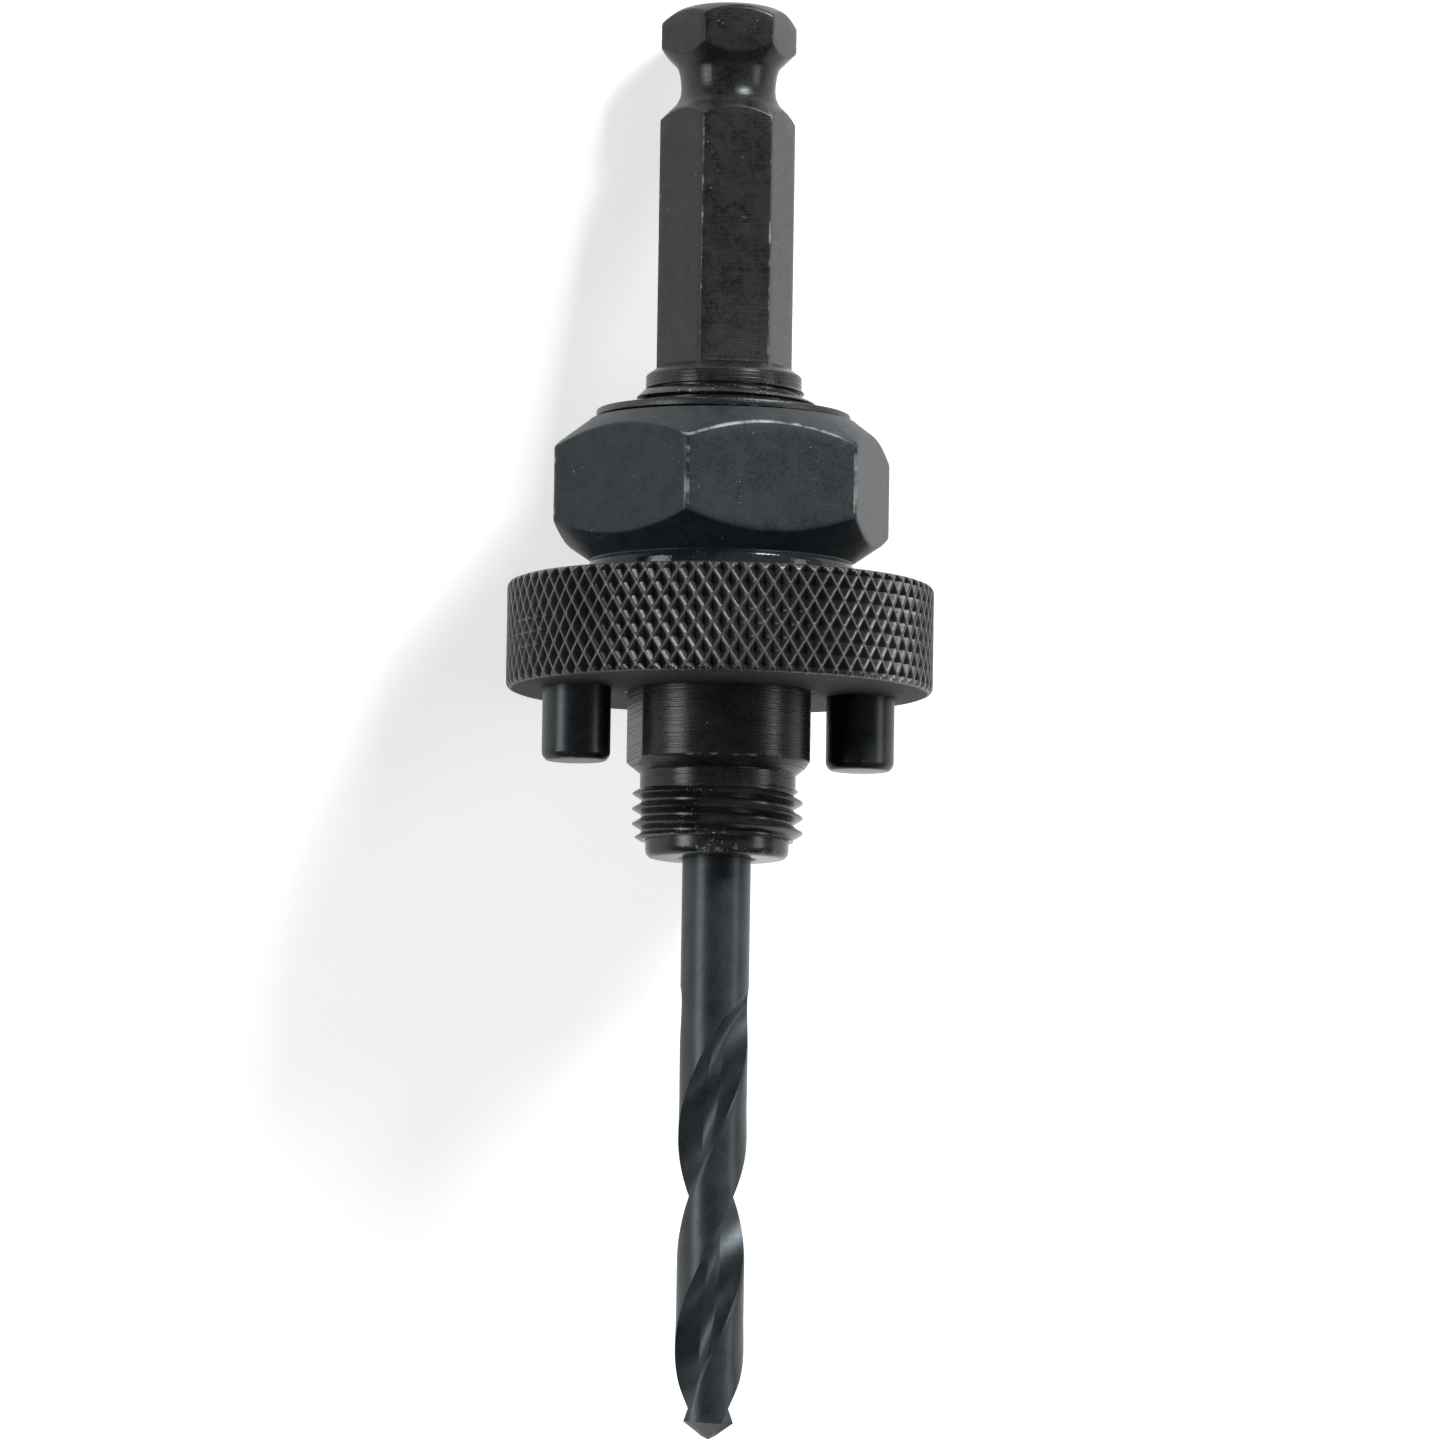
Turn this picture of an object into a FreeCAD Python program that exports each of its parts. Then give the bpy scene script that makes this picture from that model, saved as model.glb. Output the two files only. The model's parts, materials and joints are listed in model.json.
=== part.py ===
import FreeCAD, Part
import math
import os

# Hole saw arbor: hex shank, threaded mandrel, nut, sliding drive plate with
# two pins, retaining ring, pilot drill and the set screw that holds it.
# All lengths are millimetres. Stations run along the tool's own axis, from
# the shank's end (0) to the drill's point. Angles round the axis are degrees
# from the hex flat that looks up when the tool lies on a bench.

# Hex shank with its power groove
SHANK_AF = 11.11
SHANK_LENGTH = 34.8
SHANK_END_RADIUS = 4.2
SHANK_END_SIDES = 24
GROOVE_START = 4.1
GROOVE_NECK_RADIUS = 4.4
GROOVE_SHOULDER_RADIUS = 4.75
GROOVE_FOOT_RADIUS = 4.82
GROOVE_NECK_STATION = 7.9
GROOVE_END = 10.9
HEX_STEP_DEG = 60.0
HALF_HEX_DEG = 30.0

# Room that a cutting solid has past what it cuts
CUT_PAST = 1.0

# Collar and three-quarter inch thread that carry the nut
COLLAR_RADIUS = 7.25
COLLAR_LENGTH = 1.2
COLLAR_BURIED = 0.3
THREAD_MAJOR_RADIUS = 9.525
THREAD_PITCH = 1.5875
THREAD_START_RADIUS = 8.72
THREAD_CHAMFER_LENGTH = 1.45
THREAD_LENGTH = 14.6
RUNOUT_LENGTH = 1.4
RUNOUT_RADIUS = 8.25

# Retaining ring above the nut
RING_WIDTH = 3.66
RING_THICKNESS = 0.65
RING_GROOVE_WIDTH = 1.55
RING_GROOVE_RADIUS = 8.1
RING_GAP = 3.2
RING_TILT_DEG = 0.6
RING_FIT = 0.04
RING_SEAT_ROOM = 0.03

# Double-D guide that stops the plate from turning
GUIDE_RADIUS = 8.65
GUIDE_ACROSS_FLATS = 15.9
GUIDE_END = 71.8
GUIDE_TURN_DEG = 93.5
GUIDE_CHAMFER_RADIAL = 1.3
GUIDE_CHAMFER_AXIAL = 1.0

# Relief and five-eighths nose that the saw cup screws on
RELIEF_RADIUS = 7.22
RELIEF_LENGTH = 1.5
NOSE_RADIUS = 7.9375
NOSE_THREAD_LENGTH = 4.8
NOSE_LEAD_CHAMFER = 0.45
NOSE_LAND_RADIUS = 6.65
NOSE_LENGTH = 7.95
MOUTH_SINK = 0.6

# Hex nut
NUT_AF = 28.575
NUT_HEIGHT = 15.15
NUT_FACE_RADIUS = 12.35
NUT_TOP_FACE = 0.05
NUT_BOTTOM_FACE = 2.0
NUT_CHAMFER_DEG = 37.0
NUT_TURN_DEG = 9.0
THREAD_FIT = 0.06
SHARP_THREAD_FACTOR = 0.6495

# Knurled drive plate
PLATE_THICKNESS = 10.1
PLATE_EDGE = 0.6
PLATE_FIT = 0.06
KNURL_COUNT = 78
KNURL_ROWS = 7
KNURL_DEPTH = 0.45

# Drive pins
PIN_RADIUS = 3.175
PIN_GUIDE_WALL = 1.675
PIN_RIM_WALL = 3.125
PIN_REACH = 6.85
PIN_EDGE = 0.45
PIN_SINK = 0.25
PIN_PRESS = 0.2
PIN_SHOULDER = 0.25

# Pilot drill
DRILL_RADIUS = 3.175
DRILL_LENGTH = 82.6
DRILL_GRIP = 28.95
DRILL_POINT_DEG = 135.0
DRILL_LEAD = 39.1
DRILL_WEB = 1.1
FLUTE_RADIUS = 2.44
FLUTE_SETBACK = 11.55
FLUTE_RUNIN = 7.5
FLUTE_CENTRE_OFFSET = 9.97
FLUTE_CENTRE_DEG = -9.5
FLUTE_SECTIONS_PER_TURN = 14
FLUTE_CLEAR = 0.3
FLUTE_RUNIN_POWER = 2.2
DRILL_FIT = 0.03
DRILL_END_ROOM = 0.4

# Set screw in the guide's right-hand flat
SCREW_RADIUS = 2.4
SCREW_SETBACK = 3.6
SCREW_FIT = 0.03
SCREW_SINK = 0.25
SOCKET_AF = 2.38
SOCKET_DEPTH = 2.2

# Places that follow from the sizes above
SHANK_FLAT = SHANK_AF / 2.0
SHANK_CORNER = SHANK_FLAT / math.cos(math.radians(HALF_HEX_DEG))
COLLAR_RISE = COLLAR_RADIUS - SHANK_CORNER
COLLAR_START = SHANK_LENGTH
THREAD_CHAMFER_START = COLLAR_START + COLLAR_LENGTH
GROOVE_TOP = THREAD_CHAMFER_START + THREAD_CHAMFER_LENGTH
THREAD_START = GROOVE_TOP + RING_GROOVE_WIDTH
RING_OUTER_RADIUS = RING_GROOVE_RADIUS + RING_FIT + RING_WIDTH
THREAD_PITCH_RADIUS = THREAD_MAJOR_RADIUS - SHARP_THREAD_FACTOR * THREAD_PITCH / 2.0
THREAD_RADIUS = THREAD_PITCH_RADIUS - THREAD_FIT / 2.0
NUT_BORE_RADIUS = THREAD_PITCH_RADIUS + THREAD_FIT / 2.0
GUIDE_START = THREAD_START + THREAD_LENGTH
NUT_TOP = THREAD_START
NUT_BOTTOM = NUT_TOP + NUT_HEIGHT
NUT_CORNER = NUT_AF / 2.0 / math.cos(math.radians(HALF_HEX_DEG))
PIN_CIRCLE = 2.0 * (GUIDE_RADIUS + PIN_GUIDE_WALL + PIN_RADIUS)
PIN_SEAT_RADIUS = PIN_RADIUS + PIN_PRESS
PLATE_RADIUS = PIN_CIRCLE / 2.0 + PIN_RADIUS + PIN_RIM_WALL
PLATE_TOP = NUT_BOTTOM
PLATE_BOTTOM = PLATE_TOP + PLATE_THICKNESS
NOSE_START = GUIDE_END + RELIEF_LENGTH
NOSE_END = GUIDE_END + NOSE_LENGTH
DRILL_BUTT = NOSE_END - DRILL_GRIP
DRILL_TIP = DRILL_BUTT + DRILL_LENGTH
FLUTE_START = NOSE_END + FLUTE_SETBACK
FLUTE_CENTRE_STATION = FLUTE_START + FLUTE_CENTRE_OFFSET
SCREW_STATION = GUIDE_END - SCREW_SETBACK
BORE_RADIUS = DRILL_RADIUS + DRILL_FIT
BORE_END = DRILL_BUTT - DRILL_END_ROOM

# The tool lies on the plate's rim and on the shank's end
END_REST_STATION = SHANK_FLAT - SHANK_END_RADIUS
RIM_REST_STATION = PLATE_TOP + PLATE_EDGE
RIM_REST_RADIUS = PLATE_RADIUS * math.cos(math.pi / KNURL_COUNT)
LIE_ANGLE = math.atan2(RIM_REST_RADIUS - SHANK_FLAT, RIM_REST_STATION - END_REST_STATION)


def place_at(angle_deg, radius, station):
    """A point at an angle from the upward flat, a radius and a station."""
    a = math.radians(angle_deg)
    return FreeCAD.Vector(radius * math.sin(a), radius * math.cos(a), station)


def turned(outline):
    """Solid of revolution from (radius, station) points; a three-number entry
    is the middle point of an arc that ends at the next point."""
    edges = []
    start = outline[0]
    through = None
    for entry in outline[1:]:
        if len(entry) == 3:
            through = FreeCAD.Vector(entry[0], 0, entry[1])
            continue
        a = FreeCAD.Vector(start[0], 0, start[1])
        b = FreeCAD.Vector(entry[0], 0, entry[1])
        if through is None:
            edges.append(Part.makeLine(a, b))
        else:
            edges.append(Part.Arc(a, through, b).toShape())
        through = None
        start = entry
    first = FreeCAD.Vector(outline[0][0], 0, outline[0][1])
    last = FreeCAD.Vector(start[0], 0, start[1])
    if last.distanceToPoint(first) > 1e-9:
        edges.append(Part.makeLine(last, first))
    face = Part.Face(Part.Wire(edges))
    return face.revolve(FreeCAD.Vector(0, 0, 0), FreeCAD.Vector(0, 0, 1), 360)


def cylinder(radius, start, end):
    """Round bar between two stations."""
    return Part.makeCylinder(radius, end - start, FreeCAD.Vector(0, 0, start))


def hex_bar(across_flats, start, end, turn_deg):
    """Hexagonal bar with the middle of one flat at turn_deg."""
    corner = across_flats / 2.0 / math.cos(math.radians(HALF_HEX_DEG))
    points = [place_at(turn_deg + HALF_HEX_DEG + HEX_STEP_DEG * i, corner, start)
              for i in range(7)]
    face = Part.Face(Part.makePolygon(points))
    return face.extrude(FreeCAD.Vector(0, 0, end - start))


def double_d(radius, across_flats, start, end):
    """Round bar with two flats, square to the line of the drive pins."""
    slab = Part.makeBox(across_flats, 4.0 * radius, end - start,
                        FreeCAD.Vector(-across_flats / 2.0, -2.0 * radius, start))
    slab.rotate(FreeCAD.Vector(0, 0, 0), FreeCAD.Vector(0, 0, 1), 90.0 - GUIDE_TURN_DEG)
    return cylinder(radius, start, end).common(slab)


def chamfer_ring(flat_radius, station):
    """Many-sided outline with a side over each hex flat."""
    corner = flat_radius / math.cos(math.pi / SHANK_END_SIDES)
    step = 360.0 / SHANK_END_SIDES
    return Part.makePolygon([place_at((i + 0.5) * step, corner, station)
                             for i in range(SHANK_END_SIDES + 1)])


def hex_shank():
    """Hex bar with a chamfered end and the groove that a quick chuck grips."""
    bar = hex_bar(SHANK_AF, 0.0, SHANK_LENGTH, 0.0)
    end_cone = Part.makeLoft([chamfer_ring(SHANK_END_RADIUS, 0.0),
                              chamfer_ring(SHANK_END_RADIUS + SHANK_LENGTH, SHANK_LENGTH)],
                             True, True)
    reach = SHANK_CORNER + CUT_PAST
    flank = reach - GROOVE_SHOULDER_RADIUS
    shoulder = GROOVE_START + SHANK_CORNER - GROOVE_SHOULDER_RADIUS
    foot = GROOVE_END - (SHANK_CORNER - GROOVE_FOOT_RADIUS)
    groove = turned([(reach, shoulder - flank), (GROOVE_SHOULDER_RADIUS, shoulder),
                     (GROOVE_NECK_RADIUS, GROOVE_NECK_STATION),
                     (GROOVE_FOOT_RADIUS, foot),
                     (reach, foot + reach - GROOVE_FOOT_RADIUS)])
    return bar.common(end_cone).cut(groove)


def mandrel():
    """One turned bar: shank, collar, thread, ring groove, guide and nose."""
    thread_end = NOSE_START + NOSE_THREAD_LENGTH
    outline = [
        (0.0, SHANK_LENGTH - COLLAR_RISE),
        (SHANK_CORNER - COLLAR_BURIED, SHANK_LENGTH - COLLAR_RISE),
        (COLLAR_RADIUS, COLLAR_START), (COLLAR_RADIUS, THREAD_CHAMFER_START),
        (THREAD_START_RADIUS, GROOVE_TOP),
        (RING_GROOVE_RADIUS, GROOVE_TOP), (RING_GROOVE_RADIUS, THREAD_START),
        (THREAD_RADIUS, THREAD_START), (THREAD_RADIUS, GUIDE_START - RUNOUT_LENGTH),
        (RUNOUT_RADIUS, GUIDE_START - RUNOUT_LENGTH), (RUNOUT_RADIUS, GUIDE_START),
        (0.0, GUIDE_START)]
    body = turned(outline)
    guide = double_d(GUIDE_RADIUS, GUIDE_ACROSS_FLATS, GUIDE_START, GUIDE_END)
    chamfer = turned([(0.0, GUIDE_START), (GUIDE_RADIUS + CUT_PAST, GUIDE_START),
                      (GUIDE_RADIUS + CUT_PAST, GUIDE_END - GUIDE_CHAMFER_AXIAL),
                      (GUIDE_RADIUS, GUIDE_END - GUIDE_CHAMFER_AXIAL),
                      (GUIDE_RADIUS - GUIDE_CHAMFER_RADIAL, GUIDE_END), (0.0, GUIDE_END)])
    nose = turned([
        (0.0, GUIDE_END), (RELIEF_RADIUS, GUIDE_END), (RELIEF_RADIUS, NOSE_START),
        (NOSE_RADIUS - NOSE_LEAD_CHAMFER, NOSE_START),
        (NOSE_RADIUS, NOSE_START + NOSE_LEAD_CHAMFER), (NOSE_RADIUS, thread_end),
        (NOSE_LAND_RADIUS, thread_end), (NOSE_LAND_RADIUS, NOSE_END), (0.0, NOSE_END)])
    solid = hex_shank().fuse(body).fuse(guide.common(chamfer)).fuse(nose)
    bore = turned([
        (0.0, BORE_END), (BORE_RADIUS, BORE_END), (BORE_RADIUS, NOSE_END - MOUTH_SINK),
        (BORE_RADIUS + MOUTH_SINK, NOSE_END), (0.0, NOSE_END)])
    tapped = screw_bar(SCREW_RADIUS + SCREW_FIT, 0.0, GUIDE_RADIUS + CUT_PAST)
    return solid.cut(bore).cut(tapped).removeSplitter()


def screw_bar(radius, inner, outer):
    """Round bar square to the guide's flat, between two distances from the axis."""
    out = place_at(GUIDE_TURN_DEG, 1.0, 0.0)
    base = place_at(GUIDE_TURN_DEG, inner, SCREW_STATION)
    return Part.makeCylinder(radius, outer - inner, base, out)


def set_screw():
    """Headless screw that bears on the pilot drill, with a hex socket."""
    top = GUIDE_ACROSS_FLATS / 2.0 - SCREW_SINK
    length = top - DRILL_RADIUS
    solid = cylinder(SCREW_RADIUS, 0.0, length)
    solid = solid.cut(hex_bar(SOCKET_AF, length - SOCKET_DEPTH, length + CUT_PAST, 0.0))
    turn = FreeCAD.Rotation(FreeCAD.Vector(0, 0, 1), place_at(GUIDE_TURN_DEG, 1.0, 0.0))
    foot = place_at(GUIDE_TURN_DEG, DRILL_RADIUS, SCREW_STATION)
    solid.Placement = FreeCAD.Placement(foot, turn)
    return solid


def retaining_ring():
    """Open spring ring, a little askew in its groove."""
    inner = RING_GROOVE_RADIUS + RING_FIT
    half = RING_THICKNESS / 2.0
    tilt = math.radians(RING_TILT_DEG)
    low_edge = half * math.cos(tilt) + RING_OUTER_RADIUS * math.sin(tilt)
    centre = THREAD_START - RING_SEAT_ROOM - low_edge
    ring = cylinder(RING_OUTER_RADIUS, -half, half).cut(cylinder(inner, -half, half))
    gap = Part.makeBox(RING_GAP, 2.0 * RING_OUTER_RADIUS, 4.0 * half,
                       FreeCAD.Vector(-RING_GAP / 2.0, -2.0 * RING_OUTER_RADIUS, -2.0 * half))
    ring = ring.cut(gap)
    ring.rotate(FreeCAD.Vector(0, 0, 0), FreeCAD.Vector(0, 1, 0), -RING_TILT_DEG)
    ring.translate(FreeCAD.Vector(0, 0, centre))
    return ring


def hex_nut():
    """Thick nut with a turned face at both ends and deep corner chamfers."""
    slope = math.tan(math.radians(NUT_CHAMFER_DEG))
    reach = NUT_CORNER + CUT_PAST
    rise = (reach - NUT_FACE_RADIUS) * slope
    top = NUT_TOP + NUT_TOP_FACE
    bottom = NUT_BOTTOM - NUT_BOTTOM_FACE
    envelope = turned([
        (0.0, NUT_TOP), (NUT_FACE_RADIUS, NUT_TOP), (NUT_FACE_RADIUS, top),
        (reach, top + rise), (reach, bottom - rise),
        (NUT_FACE_RADIUS, bottom), (NUT_FACE_RADIUS, NUT_BOTTOM), (0.0, NUT_BOTTOM)])
    bar = hex_bar(NUT_AF, NUT_TOP, NUT_BOTTOM, NUT_TURN_DEG)
    return bar.common(envelope).cut(cylinder(NUT_BORE_RADIUS, NUT_TOP, NUT_BOTTOM))


def triangle(a, b, c):
    return Part.Face(Part.makePolygon([a, b, c, a]))


def knurl_ring(row, radius, station, half_step):
    """Points round the plate, the even rows turned by half a diamond, so that
    two crossings of the first row share the foot that the tool lies on."""
    step = 360.0 / KNURL_COUNT
    shift = ((row + half_step) % 2 - 1) / 2.0
    return [place_at((i + shift) * step, radius, station) for i in range(KNURL_COUNT + 1)]


def knurled_blank():
    """Round plate whose rim is a net of raised ridges round diamond pits."""
    band_top = PLATE_TOP + PLATE_EDGE
    row_height = (PLATE_THICKNESS - 2.0 * PLATE_EDGE) / KNURL_ROWS
    pit_radius = PLATE_RADIUS - KNURL_DEPTH
    crossings = []
    pits = []
    for row in range(KNURL_ROWS + 1):
        station = band_top + row * row_height
        crossings.append(knurl_ring(row, PLATE_RADIUS, station, 0))
        pits.append(knurl_ring(row, pit_radius, station, 1))
    faces = []
    for row in range(KNURL_ROWS + 1):
        for i in range(KNURL_COUNT):
            left = crossings[row][i]
            right = crossings[row][i + 1]
            pit = pits[row][(i + row % 2) % KNURL_COUNT]
            ahead = (i + row % 2) % KNURL_COUNT
            if row > 0:
                above = crossings[row - 1][ahead]
                faces.append(triangle(left, pit, above))
                faces.append(triangle(pit, right, above))
            if row < KNURL_ROWS:
                below = crossings[row + 1][ahead]
                faces.append(triangle(left, below, pit))
                faces.append(triangle(pit, below, right))
    ends = ((0, PLATE_TOP), (KNURL_ROWS, PLATE_BOTTOM))
    for row, station in ends:
        rim = knurl_ring(row, PLATE_RADIUS - PLATE_EDGE, station, 0)
        for i in range(KNURL_COUNT):
            pit = pits[row][(i + row % 2) % KNURL_COUNT]
            faces.append(triangle(crossings[row][i], pit, rim[i]))
            faces.append(triangle(pit, crossings[row][i + 1], rim[i + 1]))
            faces.append(triangle(pit, rim[i + 1], rim[i]))
        faces.append(Part.Face(Part.makePolygon(rim)))
    shell = Part.Shell(faces)
    solid = Part.Solid(shell)
    if solid.Volume < 0:
        solid.reverse()
    return solid


def pin_centre(side):
    """Middle of a drive pin on the plate's plane, side being -1 or 1."""
    return place_at(GUIDE_TURN_DEG, side * PIN_CIRCLE / 2.0, 0.0)


def drive_plate():
    """Knurled plate that slides on the double-D guide."""
    blank = knurled_blank()
    hole = double_d(GUIDE_RADIUS + PLATE_FIT, GUIDE_ACROSS_FLATS + 2.0 * PLATE_FIT,
                    PLATE_TOP - CUT_PAST, PLATE_BOTTOM + CUT_PAST)
    blank = blank.cut(hole)
    for side in (-1, 1):
        seat = cylinder(PIN_SEAT_RADIUS, PLATE_TOP - CUT_PAST, PLATE_BOTTOM + CUT_PAST)
        seat.translate(pin_centre(side))
        blank = blank.cut(seat)
    return blank


def drive_pin(side):
    """Pin pressed through the plate with its thicker seat, the driving end chamfered."""
    start = PLATE_TOP + PIN_SINK
    shoulder = PLATE_BOTTOM + PIN_SHOULDER
    end = PLATE_BOTTOM + PIN_REACH
    pin = turned([
        (0.0, start), (PIN_SEAT_RADIUS, start), (PIN_SEAT_RADIUS, shoulder),
        (PIN_RADIUS, shoulder), (PIN_RADIUS, end - PIN_EDGE), (PIN_RADIUS - PIN_EDGE, end),
        (0.0, end)])
    pin.translate(pin_centre(side))
    return pin


def flute(start_deg):
    """Helical cutter path: round sections that swing in from outside the drill."""
    deep = DRILL_WEB / 2.0 + FLUTE_RADIUS
    clear = DRILL_RADIUS + FLUTE_RADIUS + FLUTE_CLEAR
    step = DRILL_LEAD / FLUTE_SECTIONS_PER_TURN
    count = int(math.ceil((DRILL_TIP + CUT_PAST - FLUTE_START) / step)) + 1
    sections = []
    for i in range(count):
        station = FLUTE_START + i * step
        run = min(1.0, (station - FLUTE_START) / FLUTE_RUNIN)
        centre_radius = deep + (clear - deep) * (1.0 - run) ** FLUTE_RUNIN_POWER
        angle = start_deg - 360.0 * (station - FLUTE_CENTRE_STATION) / DRILL_LEAD
        centre = place_at(angle, centre_radius, station)
        circle = Part.Circle(centre, FreeCAD.Vector(0, 0, 1), FLUTE_RADIUS)
        sections.append(Part.Wire([circle.toShape()]))
    return Part.makeLoft(sections, True, False)


def pilot_drill():
    """Twist drill with two right-hand flutes and a cone point."""
    cone = DRILL_RADIUS / math.tan(math.radians(DRILL_POINT_DEG / 2.0))
    bar = turned([(0.0, DRILL_BUTT), (DRILL_RADIUS, DRILL_BUTT),
                  (DRILL_RADIUS, DRILL_TIP - cone), (0.0, DRILL_TIP)])
    for start_deg in (FLUTE_CENTRE_DEG, FLUTE_CENTRE_DEG + 180.0):
        bar = bar.cut(flute(start_deg))
    return bar


def lie_down(shapes):
    """Tip the tool on to its plate rim and shank end, shank towards +Y."""
    tip = FreeCAD.Placement(FreeCAD.Vector(0, 0, 0),
                            FreeCAD.Rotation(FreeCAD.Vector(1, 0, 0),
                                             90.0 - math.degrees(LIE_ANGLE)))
    box = FreeCAD.BoundBox()
    lying = {}
    for name, shape in shapes.items():
        moved = shape.copy()
        moved.Placement = tip.multiply(moved.Placement)
        lying[name] = moved
        box.add(moved.optimalBoundingBox(True, False))
    shift = FreeCAD.Vector(-0.5 * (box.XMin + box.XMax), -0.5 * (box.YMin + box.YMax), -box.ZMin)
    for moved in lying.values():
        moved.translate(shift)
    return lying, shift


def build():
    shapes = {
        "mandrel": mandrel(),
        "retaining_ring": retaining_ring(),
        "hex_nut": hex_nut(),
        "drive_plate": drive_plate(),
        "drive_pin_left": drive_pin(-1),
        "drive_pin_right": drive_pin(1),
        "set_screw": set_screw(),
        "pilot_drill": pilot_drill(),
    }
    return lie_down(shapes)


os.makedirs("parts", exist_ok=True)
parts, shift = build()
for name, shape in parts.items():
    solid = shape.Solids[0]
    print(name, len(shape.Solids), shape.isValid(), round(solid.Volume, 2))
    shape.exportStep("parts/" + name + ".step")
print("lie angle", math.degrees(LIE_ANGLE), "shift", shift)
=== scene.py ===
"""Hole saw arbor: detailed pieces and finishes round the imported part."""
import json
import math

import bmesh
import bpy
import numpy as np
from mathutils import Matrix, Vector

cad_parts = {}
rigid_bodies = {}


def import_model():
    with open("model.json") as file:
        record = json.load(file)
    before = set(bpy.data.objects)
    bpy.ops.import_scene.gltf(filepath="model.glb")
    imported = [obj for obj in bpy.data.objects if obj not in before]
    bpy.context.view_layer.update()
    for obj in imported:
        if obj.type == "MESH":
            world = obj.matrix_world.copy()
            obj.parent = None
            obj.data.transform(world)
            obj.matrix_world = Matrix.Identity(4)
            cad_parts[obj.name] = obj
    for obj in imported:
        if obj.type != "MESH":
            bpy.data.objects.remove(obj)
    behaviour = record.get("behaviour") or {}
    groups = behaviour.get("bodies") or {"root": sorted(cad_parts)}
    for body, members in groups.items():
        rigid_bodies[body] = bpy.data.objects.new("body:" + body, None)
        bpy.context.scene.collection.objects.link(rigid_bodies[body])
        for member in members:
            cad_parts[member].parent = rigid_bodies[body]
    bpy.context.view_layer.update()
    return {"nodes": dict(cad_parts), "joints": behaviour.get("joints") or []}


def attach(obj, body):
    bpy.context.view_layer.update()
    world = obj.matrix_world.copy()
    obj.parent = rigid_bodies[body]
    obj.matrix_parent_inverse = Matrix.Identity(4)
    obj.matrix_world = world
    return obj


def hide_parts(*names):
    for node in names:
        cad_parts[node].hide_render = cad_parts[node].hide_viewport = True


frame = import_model()

bl_info = {
    "name": "Hole saw arbor",
    "version": (1, 0, 0),
    "blender": (4, 5, 0),
    "location": "3D View > Sidebar > Arbor",
    "description": "Builds a hole saw arbor with a nut, a knurled drive plate and a pilot drill",
    "category": "Add Mesh",
}

MM = 0.001
TAU = 2.0 * math.pi
WEAR = "edge_wear"
MERGE_GAP = 0.0015 * MM
THINNEST = 0.0005 * MM
BEND_STEPS = 3
BEND_SHARE = 0.42
BEND_END_WEAR = 0.55
ROWS_PER_PITCH = 16
SPARE_TURNS = 7.0
LEAD_TURNS = 3.0
ROOT_FLAT = 0.09
FLANK_RUN = 0.375
UNEVEN = 0.04
WORN_ROUGHNESS = 0.3
LAMP_STATION = 70.0
FLOOR_REACH = 3.0

# Stations along the tool's own axis in millimetres, from the shank's end
SHANK_AF = 11.11
GROOVE_START = 4.1
GROOVE_END = 10.9
COLLAR_RADIUS = 7.25
COLLAR_START = 34.8
COLLAR_END = 36.0
LEAD_END = 37.45
LEAD_RADIUS = 8.72
RING_GROOVE_RADIUS = 8.1
NUT_TOP = 39.0
BOSS_TOP = 52.15
NUT_BOTTOM = 54.15
GUIDE_START = 53.6
PLATE_BOTTOM = 64.25
GUIDE_END = 71.8
NOSE_START = 73.3
NOSE_THREAD_END = 78.1
NOSE_END = 79.75
DRILL_BUTT = 50.8
DRILL_TIP = 133.4
NUT_AF = 28.575
NUT_TURN = 9.0
GUIDE_TURN = 93.5
GUIDE_RADIUS = 8.65
GUIDE_FLAT = 7.95
RELIEF_RADIUS = 7.22
NOSE_LAND_RADIUS = 6.65
BORE_RADIUS = 3.2
PLATE_RADIUS = 19.8
PLATE_EDGE = 0.7
PIN_RADIUS = 3.175
PIN_CIRCLE_RADIUS = 13.5
PIN_REACH = 6.85


def tool_matrix():
    """Takes the tool's own axes, in millimetres, into the part's frame."""
    joint = next(joint for joint in frame["joints"] if joint["name"] == "nut_turn")
    station = -Vector(joint["axis"]).normalized()
    up = Vector((0.0, station.z, -station.y))
    side = up.cross(station)
    origin = Vector(joint["pos_m"]) - station * (0.5 * (NUT_TOP + NUT_BOTTOM) * MM)
    turn = Matrix((side, up, station)).transposed().to_4x4()
    return Matrix.Translation(origin) @ turn


TOOL = tool_matrix()


# Shapes: rows of points round the axis, joined into closed shells

def polar(angle_deg, radius, station):
    """Points from angles, radii and stations, each a number or an array."""
    a = np.radians(np.asarray(angle_deg, float))
    x, y, s = np.broadcast_arrays(radius * np.sin(a), radius * np.cos(a), station)
    return np.stack([x, y, s], axis=-1).astype(float)


def softened(rows, widths, marks=None):
    """Rounds the bends of a run of rows; a width of 0 leaves a row alone.

    Returns the rows and how worn each is: marks give each row's wear at its
    rounded bend and all along it, and without marks every bend is worn."""
    marks = marks or [(1.0 if width else 0.0, 0.0) for width in widths]
    out = [rows[0]]
    wear = [np.maximum(*marks[0])]
    runs = zip(rows, rows[1:], rows[2:], widths[1:], marks[1:])
    for before, here, after, width, (bend, along) in runs:
        if not width:
            out.append(here)
            wear.append(along)
            continue
        ends = []
        for step in (before - here, after - here):
            length = np.linalg.norm(step, axis=-1, keepdims=True)
            ends.append((step / np.maximum(length, 1e-9), length))
        near = np.minimum(width, BEND_SHARE * np.minimum(ends[0][1], ends[1][1]))
        first, last = (here + step * near for step, _ in ends)
        for i in range(BEND_STEPS + 1):
            t = i / BEND_STEPS
            out.append((1 - t) ** 2 * first + 2 * t * (1 - t) * here + t * t * last)
            worn = bend if 0 < i < BEND_STEPS else BEND_END_WEAR * bend
            wear.append(np.maximum(worn, along))
    out.append(rows[-1])
    wear.append(np.maximum(*marks[-1]))
    return out, wear


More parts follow.
